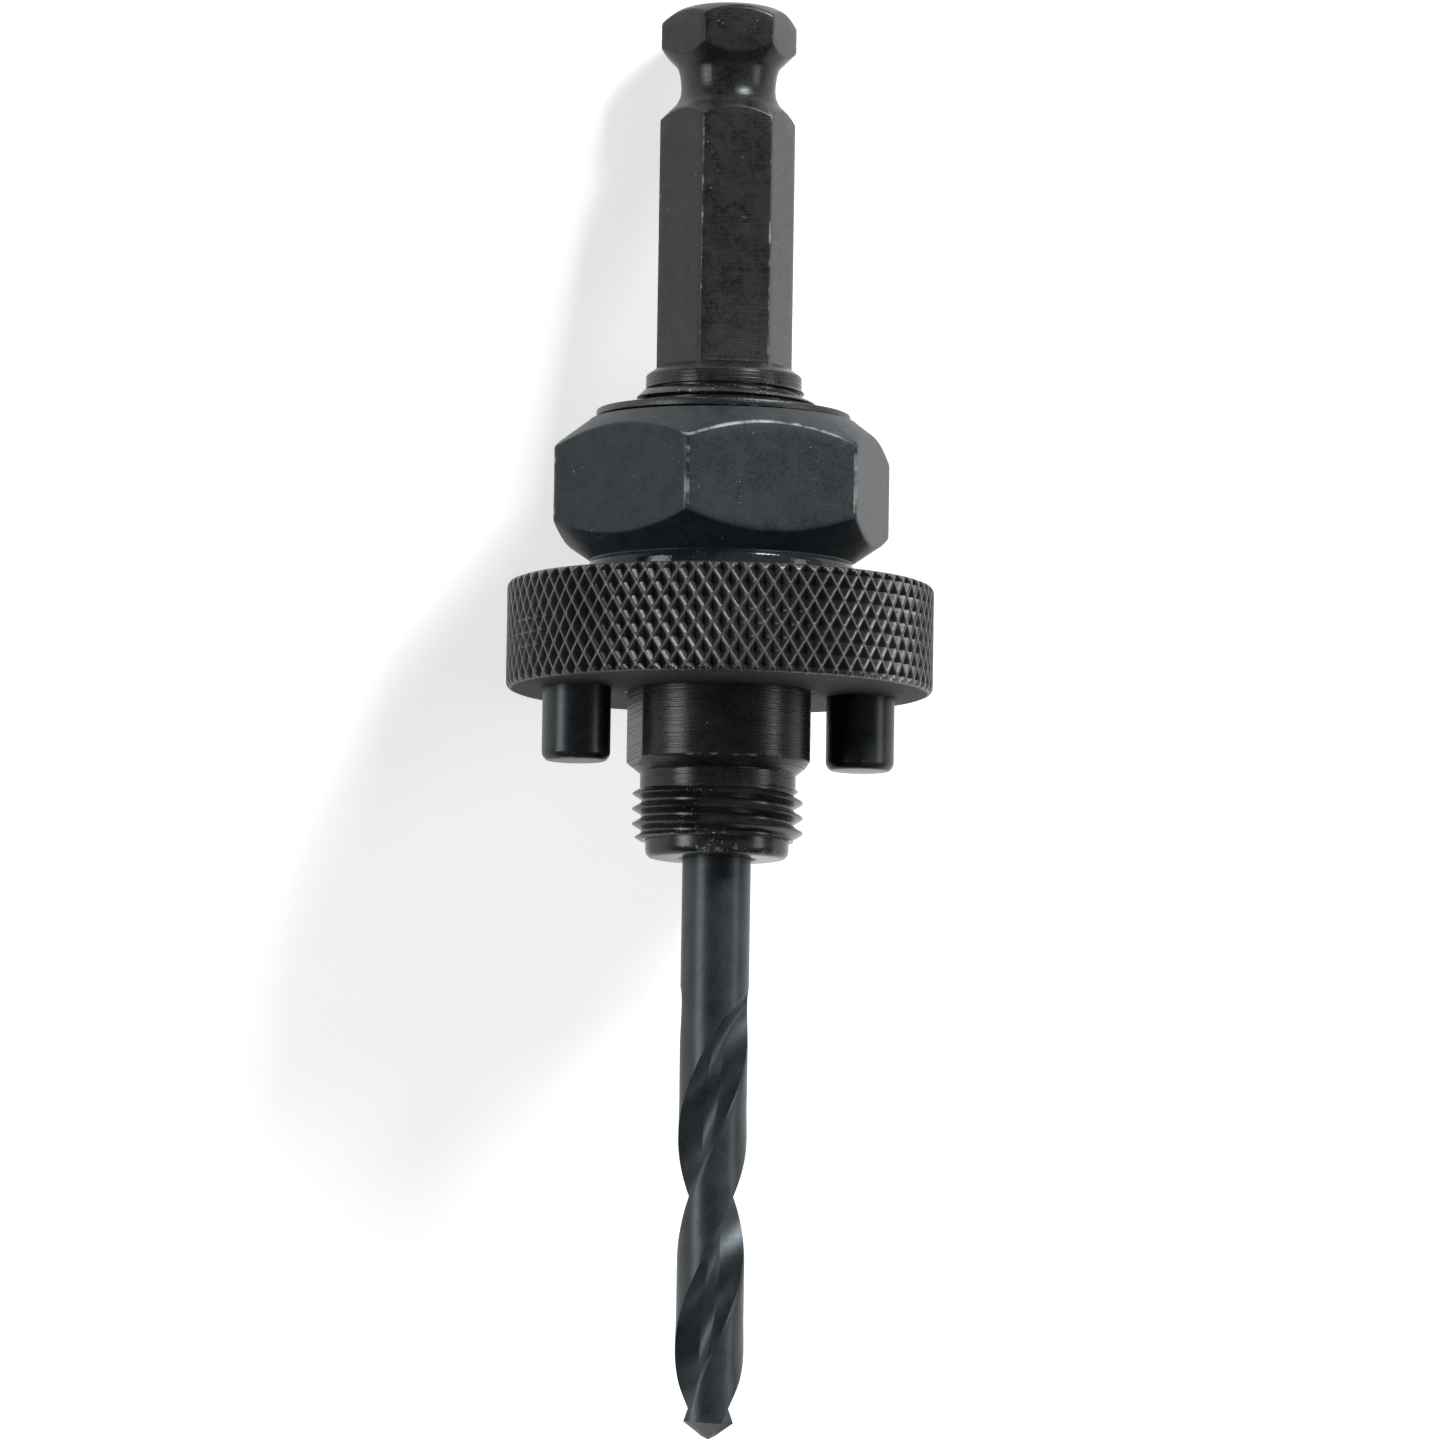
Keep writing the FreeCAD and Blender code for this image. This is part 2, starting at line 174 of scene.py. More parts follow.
def sections(angles, rows, ridge):
    """Rings, widths and marks from (radius, station, width, bend wear, ridge wear) rows."""
    return ([polar(angles, row[0], row[1]) for row in rows], [row[2] for row in rows],
            [(row[3], row[4] * ridge) for row in rows])


def bands(idx):
    """Quads between neighbouring rings of point numbers."""
    a, b = idx[:-1], idx[1:]
    quads = np.stack([a, np.roll(a, -1, 1), np.roll(b, -1, 1), b], axis=-1)
    return quads.reshape(-1, 4).tolist()


def shell(rows, wear, looped=False):
    """Joins closed rings of points; the ends are closed with a fan each."""
    count = len(rows[0])
    points = np.concatenate(rows)
    values = np.concatenate([np.broadcast_to(np.asarray(w, float), count) for w in wear])
    idx = np.arange(len(rows) * count).reshape(len(rows), count)
    faces = bands(np.vstack([idx, idx[:1]]) if looped else idx)
    if not looped:
        for ring, order in ((idx[0], -1), (idx[-1], 1)):
            centre = len(points)
            points = np.vstack([points, points[ring].mean(axis=0)])
            values = np.append(values, 0.0)
            for pair in zip(ring.tolist(), np.roll(ring, -1).tolist()):
                faces.append([centre, *pair[::order]])
    return points, faces, values


def joined(*parts):
    """Puts several shells into one list of points, faces and wear values."""
    points, faces, values, base = [], [], [], 0
    for p, f, v in parts:
        points.append(p)
        values.append(v)
        faces += [[i + base for i in face] for face in f]
        base += len(p)
    return np.concatenate(points), faces, np.concatenate(values)


def solid_piece(name, data, material, sharp_deg=38.0):
    """Makes a piece in the part's frame from points in the tool's millimetres.

    Merges doubles, points faces outwards, marks sharp edges and adds the finish."""
    points, faces, values = data
    world = points @ np.array(TOOL.to_3x3()).T * MM + np.array(TOOL.translation)
    mesh = bpy.data.meshes.new(name)
    mesh.from_pydata(world.tolist(), [], faces)
    layer = mesh.attributes.new(WEAR, "FLOAT", "POINT")
    layer.data.foreach_set("value", np.asarray(values, np.float32))
    bm = bmesh.new()
    bm.from_mesh(mesh)
    bmesh.ops.remove_doubles(bm, verts=bm.verts, dist=MERGE_GAP)
    bmesh.ops.dissolve_degenerate(bm, edges=bm.edges, dist=THINNEST)
    bmesh.ops.recalc_face_normals(bm, faces=bm.faces)
    for edge in bm.edges:
        edge.smooth = edge.calc_face_angle(0.0) < math.radians(sharp_deg)
    for face in bm.faces:
        face.smooth = True
    bm.to_mesh(mesh)
    bm.free()
    mesh.materials.append(material)
    piece = bpy.data.objects.new(name, mesh)
    bpy.context.scene.collection.objects.link(piece)
    return piece


def evenly(count):
    """Angles of a full turn in equal steps."""
    return np.arange(count) * 360.0 / count


def turned(profile, widths, count=192):
    """Shell of revolution from (radius, station) points, its bends rounded."""
    rows = [polar(evenly(count), max(radius, 0.02), station) for radius, station in profile]
    return shell(*softened(rows, widths))


def hex_section(across_flats, turn_deg, fillet, per_flat=10, per_corner=4):
    """Angles and radii round a hexagon with rounded corners."""
    half = across_flats / 2.0
    twelfth = math.pi / 6.0
    side = half * math.tan(twelfth)
    trim = fillet * math.tan(twelfth)
    angles, radii = [], []
    centre = (half - fillet) / math.cos(twelfth)
    for k in range(6):
        mid = turn_deg + 60.0 * k
        for i in range(per_flat):
            t = (side - trim) * (2.0 * i / (per_flat - 1) - 1.0)
            angles.append(mid + math.degrees(math.atan2(t, half)))
            radii.append(math.hypot(t, half))
        corner = mid + 30.0
        for i in range(1, per_corner):
            a = math.radians(-30.0 + 60.0 * i / per_corner)
            x = centre + fillet * math.cos(a)
            y = fillet * math.sin(a)
            angles.append(corner + math.degrees(math.atan2(y, x)))
            radii.append(math.hypot(x, y))
    return np.array(angles), np.array(radii)


def double_d_section(radius, flat, count=44, per_flat=14):
    """Angles and radii round a bar with two flats."""
    half = math.degrees(math.acos(flat / radius))
    angles = []
    for side in (0.0, 180.0):
        mid = GUIDE_TURN + side
        for i in range(per_flat):
            t = math.tan(math.radians(half)) * (2.0 * i / per_flat - 1.0)
            angles.append(mid + math.degrees(math.atan(t)))
        for i in range(count):
            angles.append(mid + half + (180.0 - 2.0 * half) * i / count)
    angles = np.array(angles)
    off = np.radians((angles - GUIDE_TURN + 90.0) % 180.0 - 90.0)
    return angles, np.minimum(radius, flat / np.cos(off))


# Node building

def socket(tree, name, in_out, kind, default=None):
    made = tree.interface.new_socket(name=name, in_out=in_out, socket_type=kind)
    if default is not None:
        made.default_value = default
    return made


def feed(tree, value, slot):
    """Sets an input to a number or a name, or links it to what makes its value."""
    value = getattr(value, "output", value)
    if isinstance(value, bpy.types.NodeSocket):
        tree.links.new(value, slot)
    else:
        slot.default_value = value


def fill(tree, node, **values):
    """Feeds a node's inputs; an input's name has _ for each space."""
    for name, value in values.items():
        feed(tree, value, node.inputs[name.replace("_", " ")])
    return node


def node_with(tree, kind, group=None, **values):
    node = tree.nodes.new(kind)
    if group is not None:
        node.node_tree = group
    return fill(tree, node, **values)


def maths(tree, operation, *values):
    node = tree.nodes.new("ShaderNodeMath")
    node.operation = operation
    for value, slot in zip(values, node.inputs):
        feed(tree, value, slot)
    return Term(tree, node.outputs[0])


class Term:
    """A number that a node tree works out, used in sums like any other number."""

    def __init__(self, tree, output):
        self.tree = tree
        self.output = output

    def math(self, operation, *others):
        return maths(self.tree, operation, self, *others)

    def __add__(self, other):
        return self.math("ADD", other)

    def __sub__(self, other):
        return self.math("SUBTRACT", other)

    def __rsub__(self, other):
        return maths(self.tree, "SUBTRACT", other, self)

    def __mul__(self, other):
        return self.math("MULTIPLY", other)

    def __truediv__(self, other):
        return self.math("DIVIDE", other)

    def at_least(self, other):
        return self.math("MAXIMUM", other)

    def at_most(self, other):
        return self.math("MINIMUM", other)

    def ramp(self, low, high):
        """0 below low, 1 above high, smooth between."""
        node = node_with(self.tree, "ShaderNodeMapRange", Value=self, From_Min=low, From_Max=high)
        node.interpolation_type = "SMOOTHSTEP"
        return Term(self.tree, node.outputs["Result"])


# Shared shader groups

def noise_term(tree, vector, scale, detail, roughness, distortion=0.0):
    node = node_with(tree, "ShaderNodeTexNoise", Vector=vector, Scale=scale, Detail=detail,
                     Roughness=roughness, Distortion=distortion)
    return Term(tree, node.outputs["Fac"])


def station_term(tree, vector):
    """How far along the tool's axis the surface is."""
    parts = node_with(tree, "ShaderNodeSeparateXYZ", Vector=vector)
    return Term(tree, parts.outputs["Z"])


def new_group(name, sizes, results):
    """A shader group that takes a Vector and named numbers, and gives numbers."""
    tree = bpy.data.node_groups.new(name, "ShaderNodeTree")
    socket(tree, "Vector", "INPUT", "NodeSocketVector")
    for label, default in sizes.items():
        socket(tree, label, "INPUT", "NodeSocketFloat", default)
    for label in results:
        socket(tree, label, "OUTPUT", "NodeSocketFloat")
    start = tree.nodes.new("NodeGroupInput").outputs
    numbers = [Term(tree, start[label]) for label in sizes]
    return tree, start["Vector"], numbers, tree.nodes.new("NodeGroupOutput").inputs


def oxide_mottle_group():
    """Cloudy patches and fine grain of a blackened surface."""
    tree, vector, (patch_scale, grain_scale), results = new_group(
        "Oxide mottle", {"Patch Scale": 0.3, "Grain Scale": 4.0}, ("Patches", "Grain"))
    patches = noise_term(tree, vector, patch_scale, 5.0, 0.62, 0.6)
    grain = noise_term(tree, vector, grain_scale, 1.5, 0.6)
    feed(tree, patches.ramp(0.32, 0.68), results["Patches"])
    feed(tree, grain.ramp(0.3, 0.7), results["Grain"])
    return tree


def worn_edge_group():
    """Bright metal where an edge has been rubbed, and specks in from it."""
    tree, vector, (edge, amount, break_scale, specks), results = new_group(
        "Worn edge", {"Edge": 0.0, "Amount": 0.5, "Break Scale": 0.8, "Specks": 0.0}, ("Mask",))
    breaks = noise_term(tree, vector, break_scale, 4.0, 0.65)
    rubbed = (edge * amount + (breaks * 2.0 - 1.0)).ramp(0.1, 0.7) * edge.ramp(0.6, 0.95)
    fine = noise_term(tree, vector, 3.1, 4.0, 0.7)
    cloud = noise_term(tree, vector, 0.23, 2.0, 0.5)
    # the more specks, the lower the level at which one starts
    bar = 0.795 - specks * 0.25
    spots = (cloud * 0.24 + fine * 0.76).ramp(bar, bar + 0.03) * specks.ramp(0.0, 0.05)
    feed(tree, rubbed.at_least(spots), results["Mask"])
    return tree


def turning_lines_group():
    """Fine rings that a lathe tool leaves round the axis, fainter across the hex bar."""
    tree, vector, (rate,), results = new_group(
        "Turning lines", {"Lines Per Millimetre": 6.0}, ("Height",))
    station = station_term(tree, vector)
    noise = tree.nodes.new("ShaderNodeTexNoise")
    noise.noise_dimensions = "1D"
    fill(tree, noise, W=station * rate, Detail=1.0, Roughness=0.6)
    strength = station.ramp(COLLAR_START - 2.0, COLLAR_START - 0.5) * 0.6 + 0.4
    height = (Term(tree, noise.outputs["Fac"]) - 0.5) * strength + 0.5
    feed(tree, height, results["Height"])
    return tree


GROUPS = {}


def mixed(tree, factor, a, b):
    """Mix of two colours, each an output or three numbers."""
    node = tree.nodes.new("ShaderNodeMix")
    node.data_type = "RGBA"
    feed(tree, factor, node.inputs["Factor"])
    for slot, value in zip(node.inputs[6:8], (a, b)):
        made = isinstance(value, bpy.types.NodeSocket)
        feed(tree, value if made else (*value, 1.0), slot)
    return node.outputs[2]


def blackened_steel(name, dark, light, worn, roughness, patch_scale=0.3, grain_scale=4.0,
                    edge_amount=0.3, break_scale=0.8, specks=0.0, lines=0.0, line_rate=6.0,
                    grain_bump=0.02, shine=None, specular=0.45, tint=(1.0, 1.0, 1.0),
                    fleck_amount=0.35, dull=None):
    """Oxide-blackened steel with mottling, rubbed edges and lathe lines."""
    material = bpy.data.materials.new(name)
    material.use_nodes = True
    tree = material.node_tree
    shader = tree.nodes["Principled BSDF"]
    coords = tree.nodes.new("ShaderNodeTexCoord")
    place = tree.nodes.new("ShaderNodeMapping")
    place.vector_type = "TEXTURE"
    fill(tree, place, Location=TOOL.translation, Rotation=TOOL.to_euler(), Scale=(MM, MM, MM),
         Vector=coords.outputs["Object"])
    vector = place.outputs[0]
    wear = tree.nodes.new("ShaderNodeAttribute")
    wear.attribute_name = WEAR
    mottle = node_with(tree, "ShaderNodeGroup", GROUPS["mottle"], Vector=vector,
                       Patch_Scale=patch_scale, Grain_Scale=grain_scale)
    grain = Term(tree, mottle.outputs["Grain"])
    colour = mixed(tree, mottle.outputs["Patches"], dark, light)
    colour = mixed(tree, grain * fleck_amount, colour, light)
    edge = node_with(tree, "ShaderNodeGroup", GROUPS["edge"], Vector=vector,
                     Edge=wear.outputs["Fac"], Amount=edge_amount, Break_Scale=break_scale,
                     Specks=specks)
    mask = edge.outputs["Mask"]
    feed(tree, mixed(tree, mask, colour, worn), shader.inputs["Base Color"])
    rough = tree.nodes.new("ShaderNodeMix")
    for slot, value in ((0, mask), (2, grain * UNEVEN + (roughness - UNEVEN / 2.0)),
                        (3, WORN_ROUGHNESS)):
        feed(tree, value, rough.inputs[slot])
    smooth = Term(tree, rough.outputs[0])
    if shine is not None:
        smooth = smooth * (shine(tree, vector) * -0.75 + 1.0)
    if dull is not None:
        smooth = dull(tree, vector) * 0.35 + smooth
    height = grain * grain_bump
    if lines:
        rings = node_with(tree, "ShaderNodeGroup", GROUPS["lines"], Vector=vector,
                          Lines_Per_Millimetre=line_rate)
        ring_height = Term(tree, rings.outputs["Height"])
        height = ring_height * lines + height
        smooth = smooth + (ring_height * 0.5 - 0.25)
    bump = node_with(tree, "ShaderNodeBump", Strength=0.6, Distance=MM, Height=height)
    fill(tree, shader, Roughness=smooth, Specular_IOR_Level=specular, Specular_Tint=(*tint, 1.0),
         Normal=bump.outputs[0])
    return material


# Geometry Nodes

class FieldTree:
    """A geometry node tree that wraps a sheet round the tool's axis, with named inputs."""

    def __init__(self, name, sizes):
        self.tree = bpy.data.node_groups.new(name, "GeometryNodeTree")
        self.tree.is_modifier = True
        socket(self.tree, "Geometry", "OUTPUT", "NodeSocketGeometry")
        self.ids = {}
        for label, default in sizes.items():
            kind = "NodeSocketInt" if isinstance(default, int) else "NodeSocketFloat"
            self.ids[label] = socket(self.tree, label, "INPUT", kind, default).identifier
        finish_socket = socket(self.tree, "Finish", "INPUT", "NodeSocketMaterial")
        self.ids["Finish"] = finish_socket.identifier
        self.start = self.tree.nodes.new("NodeGroupInput").outputs
        self.sheet = self.node("GeometryNodeMeshGrid", Size_X=1.0, Size_Y=1.0,
                               Vertices_X=self["Columns"] + 1, Vertices_Y=self["Rows"])

    def __getitem__(self, label):
        return Term(self.tree, self.start[label])

    def node(self, kind, **values):
        return node_with(self.tree, kind, **values)

    def places(self):
        """How far across and along the sheet each point is, from 0 to 1."""
        place = self.node("GeometryNodeInputPosition")
        parts = self.node("ShaderNodeSeparateXYZ", Vector=place.outputs[0])
        return [Term(self.tree, parts.outputs[axis]) + 0.5 for axis in "XY"]

    def wrapped(self, angle, radius, station, wear):
        """Wraps the sheet, closes it, and gives it its wear and its finish."""
        place = self.node("ShaderNodeCombineXYZ", X=radius * angle.math("SINE"),
                          Y=radius * angle.math("COSINE"), Z=station)
        worn = self.node("GeometryNodeStoreNamedAttribute", Geometry=self.sheet.outputs["Mesh"],
                         Name=WEAR, Value=wear)
        moved = self.node("GeometryNodeSetPosition", Geometry=worn.outputs[0],
                          Position=place.outputs[0])
        merged = self.node("GeometryNodeMergeByDistance", Geometry=moved.outputs[0],
                           Distance=0.002)
        real = self.node("GeometryNodeRealizeInstances", Geometry=merged.outputs[0])
        paint = self.node("GeometryNodeSetMaterial", Geometry=real.outputs[0],
                          Material=self.start["Finish"])
        self.node("NodeGroupOutput", Geometry=paint.outputs[0])
        return self


def grown_mesh(name, tree, values):
    """Runs a tree on an empty carrier and returns its result as a plain mesh."""
    carrier_mesh = bpy.data.meshes.new(name + "_carrier")
    carrier = bpy.data.objects.new(name + "_carrier", carrier_mesh)
    bpy.context.scene.collection.objects.link(carrier)
    modifier = carrier.modifiers.new("nodes", "NODES")
    modifier.node_group = tree.tree
    for label, value in values.items():
        modifier[tree.ids[label]] = value
    depsgraph = bpy.context.evaluated_depsgraph_get()
    depsgraph.update()
    mesh = bpy.data.meshes.new_from_object(carrier.evaluated_get(depsgraph))
    mesh.name = name
    carrier.modifiers.remove(modifier)
    bpy.data.objects.remove(carrier)
    bpy.data.meshes.remove(carrier_mesh)
    if not mesh.polygons:
        raise RuntimeError("the " + name + " tree made nothing")
    return mesh


def screw_thread_tree():
    """A solid thread: helical rows of a cut form, cut flat and cone-chamfered at both ends."""
    t = FieldTree("Screw thread", {
        "Major Radius": 9.525, "Depth": 0.97, "Pitch": 1.5875, "Start": 0.0, "End": 10.0,
        "Start Radius": 8.7, "Start Slope": 1.0, "End Radius": 8.7, "End Slope": 1.0,
        "Start Angle": 0.0, "Columns": 180, "Rows": 200, "Rows Per Pitch": 16.0})
    start, end, pitch, depth = t["Start"], t["End"], t["Pitch"], t["Depth"]
    across, along = t.places()
    turns = along * (t["Rows"] - 1.0) / t["Rows Per Pitch"] - LEAD_TURNS
    raw = (turns - across) * pitch + start
    station = raw.at_least(start).at_most(end)
    # phase runs 0 to 1 from crest to crest at the station that is kept
    phase = ((station - start) / pitch + across + 16.0).math("FRACT")
    # 0.5 is the crest's middle, 0 the root's middle
    half = (phase - 0.5).math("ABSOLUTE")
    flank = ((half - ROOT_FLAT) / FLANK_RUN).at_least(0.0).at_most(1.0)
    radius = flank * depth + (t["Major Radius"] - depth)
    lead = (station - start) * t["Start Slope"] + t["Start Radius"]
    tail = (end - station) * t["End Slope"] + t["End Radius"]
    before = raw.math("LESS_THAN", start - pitch)
    after = raw.math("GREATER_THAN", end + pitch)
    radius = radius.at_most(lead.at_most(tail)) * (1.0 - before.at_least(after))
    angle = across * -TAU + t["Start Angle"]
    return t.wrapped(angle, radius, station, flank.math("GREATER_THAN", 0.93))


def knurled_rim_tree():
    """Rim of the plate: a net of raised ridges round diamond pits, with rounded ends."""
    t = FieldTree("Knurled rim", {
        "Radius": 19.8, "Top": 54.15, "Bottom": 64.25, "Edge": 0.6, "Count": 78.0,
        "Half Rows": 7.0, "Depth": 0.5, "Land": 0.06, "Unevenness": 0.05,
        "Columns": 1092, "Rows": 57})
    top, bottom, edge, land = t["Top"], t["Bottom"], t["Edge"], t["Land"]
    across, along = t.places()
    height = bottom - top
    station = along * height + top
    down = (station - top - edge) / (height - edge * 2.0)
    v = down * (t["Half Rows"] * 0.5)
    u = across * t["Count"] + 0.5
    first = (u + v + 64.0).math("PINGPONG", 0.5)
    second = (u - v + 64.0).math("PINGPONG", 0.5)
    near = first.at_most(second)
    pit = ((near - land) / (0.5 - land)).at_least(0.0).at_most(1.0)
    angle = across * TAU
    # the noise runs on a narrower rim, so it is coarser round it than along it
    reach = 9.0
    spot = t.node("ShaderNodeCombineXYZ", X=angle.math("SINE") * reach,
                  Y=angle.math("COSINE") * reach, Z=station)
    noise = t.node("ShaderNodeTexNoise", Vector=spot.outputs[0], Scale=0.55, Detail=2.0)
    rough = (Term(t.tree, noise.outputs["Fac"]) - 0.5) * t["Unevenness"]
    radius = t["Radius"] - pit * t["Depth"] + rough.at_most(0.0)
    ends = []
    for gap in (station - top, bottom - station):
        short = (edge - gap).at_least(0.0)
        square = edge.math("POWER", 2.0) - short.math("POWER", 2.0)
        ends.append(square.at_least(0.0).math("SQRT"))
    radius = radius.at_most(t["Radius"] - edge + ends[0].at_most(ends[1]))
    ridge = 1.0 - (near * 4.0).at_most(1.0)
    return t.wrapped(angle, radius, station, ridge)


def mesh_data(mesh):
    """Points, faces and wear of a mesh that is still in the tool's millimetres."""
    points = np.empty(len(mesh.vertices) * 3)
    mesh.vertices.foreach_get("co", points)
    faces = [list(p.vertices) for p in mesh.polygons]
    values = np.zeros(len(mesh.vertices), np.float32)
    mesh.attributes[WEAR].data.foreach_get("value", values)
    bpy.data.meshes.remove(mesh)
    return points.reshape(-1, 3), faces, values


def thread_data(name, tree, material, **sizes):
    """Points of one thread; each size is named as the tree's input, _ standing for a space."""
    turns = (sizes["End"] - sizes["Start"]) / sizes["Pitch"]
    values = {label.replace("_", " "): value for label, value in sizes.items()}
    values["Rows"] = int(math.ceil(turns + SPARE_TURNS) * ROWS_PER_PITCH) + 1
    values["Rows Per Pitch"] = float(ROWS_PER_PITCH)
    values["Finish"] = material
    return mesh_data(grown_mesh(name, tree, values))


# Pieces

def shank_rows():
    """Hex shank, its power groove, collar and the neck under the retaining ring."""
    angles, h = hex_section(SHANK_AF, 0.0, 0.25)
    corner = SHANK_AF / 2.0 / math.cos(math.pi / 6.0)
    ridge = np.clip((h - (h.max() - 0.06)) / 0.05, 0.0, 1.0)
    buried = corner - 0.3
    rise = COLLAR_RADIUS - corner
    slope = rise / (COLLAR_RADIUS - buried)
    cross = COLLAR_START - rise + np.maximum(0.0, h - buried) * slope
    # the end is ground a little askew, deeper at the back
    askew = 0.37 * (1.0 - np.cos(np.radians(angles)))
    end = 0.62 + askew + 0.86 * (h - SHANK_AF / 2.0)
    rings, widths, marks = sections(angles, [
        (0.6, 0.0, 0.0, 0.0, 0.0),
        (2.6, 0.0, 0.3, 0.0, 0.0),
        (3.7, 0.06 + 0.2 * askew, 0.3, 0.0, 0.0),
        (4.9, 0.3 + 0.8 * askew, 0.3, 0.0, 0.0),
        (h, end, 0.3, 0.1, 0.0),
        (h, 2.5, 0.0, 0.0, 1.0),
        (h, GROOVE_START + corner - h, 0.16, 0.5, 1.0),
        (4.75, GROOVE_START + corner - 4.75, 0.25, 0.0, 0.0),
        (4.53, 6.5, 0.0, 0.0, 0.0),
        (4.43, 7.2, 0.0, 0.0, 0.0),
        (4.4, 7.9, 0.0, 0.0, 0.0),
        (4.47, 8.55, 0.0, 0.0, 0.0),
        (4.82, GROOVE_END - (corner - 4.82), 0.6, 0.0, 0.0),
        (h, GROOVE_END - (corner - h), 0.16, 0.35, 1.0),
        (h, 13.0, 0.0, 0.0, 1.0),
        (h, 24.0, 0.0, 0.0, 1.0),
        (h, cross, 0.12, 0.0, 1.0),
        (np.maximum(h, buried), cross, 0.0, 0.0, 0.0),
        (COLLAR_RADIUS, COLLAR_START, 0.15, 0.0, 0.0),
        (COLLAR_RADIUS, COLLAR_END, 0.0, 0.0, 0.0),
        (6.95, COLLAR_END + 0.12, 0.0, 0.0, 0.0),
        (6.95, LEAD_END - 0.1, 0.0, 0.0, 0.0),
        (RING_GROOVE_RADIUS, LEAD_END - 0.05, 0.0, 0.0, 0.0),
        (RING_GROOVE_RADIUS, NUT_TOP + 0.3, 0.0, 0.0, 0.0),
    ], ridge)
    return shell(*softened(rings, widths, marks))


def guide_rows():
    """Double-D guide with its turned end chamfer and the relief below it."""
    angles, d = double_d_section(GUIDE_RADIUS, GUIDE_FLAT)
    rows = [
        (1.0, GUIDE_START - 0.6, 0.0),
        (np.minimum(d, 8.0), GUIDE_START - 0.6, 0.0),
        (d, GUIDE_START, 0.0),
        (d, 62.0, 0.0),
        (d, GUIDE_END - 1.0 + (GUIDE_RADIUS - d) / 1.3, 0.2),
        (7.35, GUIDE_END, 0.12),
        (RELIEF_RADIUS, GUIDE_END + 0.02, 0.1),
        (RELIEF_RADIUS, NOSE_START + 0.3, 0.0),
        (1.0, NOSE_START + 0.3, 0.0),
    ]
    return shell(*softened([polar(angles, radius, station) for radius, station, _ in rows],
                           [row[2] for row in rows]))


def nut_rows():
    """Hex nut with deep corner chamfers, a rounded boss below and a plain bore."""
    angles, h = hex_section(NUT_AF, NUT_TURN, 0.7, 24, 8)
    slope = math.tan(math.radians(37.0))
    face, bore, mouth = 12.35, 9.62, 10.3
    top = NUT_TOP + 0.05 + (h - face) * slope
    foot = BOSS_TOP - (h - face) * slope
    off = (angles - NUT_TURN + 180.0) % 360.0 - 180.0
    # only the top edge of the faces turned towards the camera gets the worn colour: partly rubbed
    # metal, partly a painted highlight of the light from above
    front_wear_and_highlight = np.clip((38.0 - np.abs(off + 4.0)) / 12.0, 0.0, 1.0)
    ridge = np.clip((h - (h.max() - 0.14)) / 0.1, 0.0, 1.0)
    rows = [
        (mouth, NUT_TOP, 0.1, 0.0, 0.0),
        (face, NUT_TOP, 0.1, 0.0, 0.0),
        (face + 0.3, NUT_TOP + 0.05 + 0.3 * slope, 0.0, 0.0, 0.0),
        (h, top, 0.26, front_wear_and_highlight, 0.0),
        (h, top + 1.2, 0.0, 0.0, 0.9),
        (h, 0.5 * (NUT_TOP + 0.05 + BOSS_TOP), 0.0, 0.0, 0.75),
        (h, foot - 0.6, 0.0, 0.0, 0.9),
        (h, foot, 0.34, 0.0, 0.0),
        (face - 0.25, BOSS_TOP, 0.15, 0.0, 0.0),
        (face, BOSS_TOP + 0.45, 0.3, 0.0, 0.0),
        (face, NUT_BOTTOM - 0.5, 0.3, 0.0, 0.0),
        (face - 0.3, NUT_BOTTOM, 0.1, 0.0, 0.0),
        (mouth, NUT_BOTTOM, 0.1, 0.0, 0.0),
        (bore, NUT_BOTTOM - 0.7, 0.0, 0.0, 0.0),
        (bore, NUT_TOP + 0.7, 0.0, 0.0, 0.0),
    ]
    # the run is closed, so its last row comes before the first and its first after the last
    rings, widths, marks = sections(angles, [rows[-1]] + rows + [rows[0]], ridge)
    soft, wear = softened(rings, widths, marks)
    return shell(soft[1:-1], wear[1:-1], looped=True)


def ring_data():
    """Open spring ring, a little askew."""
    inner, outer, half, soft = 8.14, 11.8, 0.325, 0.1
    profile = [(inner, -half + soft), (inner, half - soft), (inner + soft, half),
               (outer - soft, half), (outer - 0.03, half - 0.03), (outer, half - soft),
               (outer, -half + soft), (outer - 0.03, -half + 0.03), (outer - soft, -half),
               (inner + soft, -half)]
    wear = [0.0, 0.0, 0.2, 0.6, 1.0, 0.6, 0.6, 1.0, 0.6, 0.2]
    steps, tilt, room, half_gap = 200, math.radians(0.6), 0.03, 1.6
    centre = NUT_TOP - room - (half * math.cos(tilt) + outer * math.sin(tilt))
    rows = []
    for i in range(steps + 1):
        ring = []
        for r, z in profile:
            gap = math.degrees(math.asin(half_gap / r))
            beta = 180.0 + gap + (360.0 - 2.0 * gap) * i / steps
            x, y, _ = polar(beta, r, 0.0)
            ring.append((x * math.cos(tilt) - z * math.sin(tilt), y,
                         x * math.sin(tilt) + z * math.cos(tilt) + centre))
        rows.append(np.array(ring))
    idx = np.arange((steps + 1) * len(profile)).reshape(steps + 1, -1)
    faces = bands(idx) + [idx[0].tolist(), idx[-1][::-1].tolist()]
    return np.concatenate(rows), faces, np.tile(wear, steps + 1)


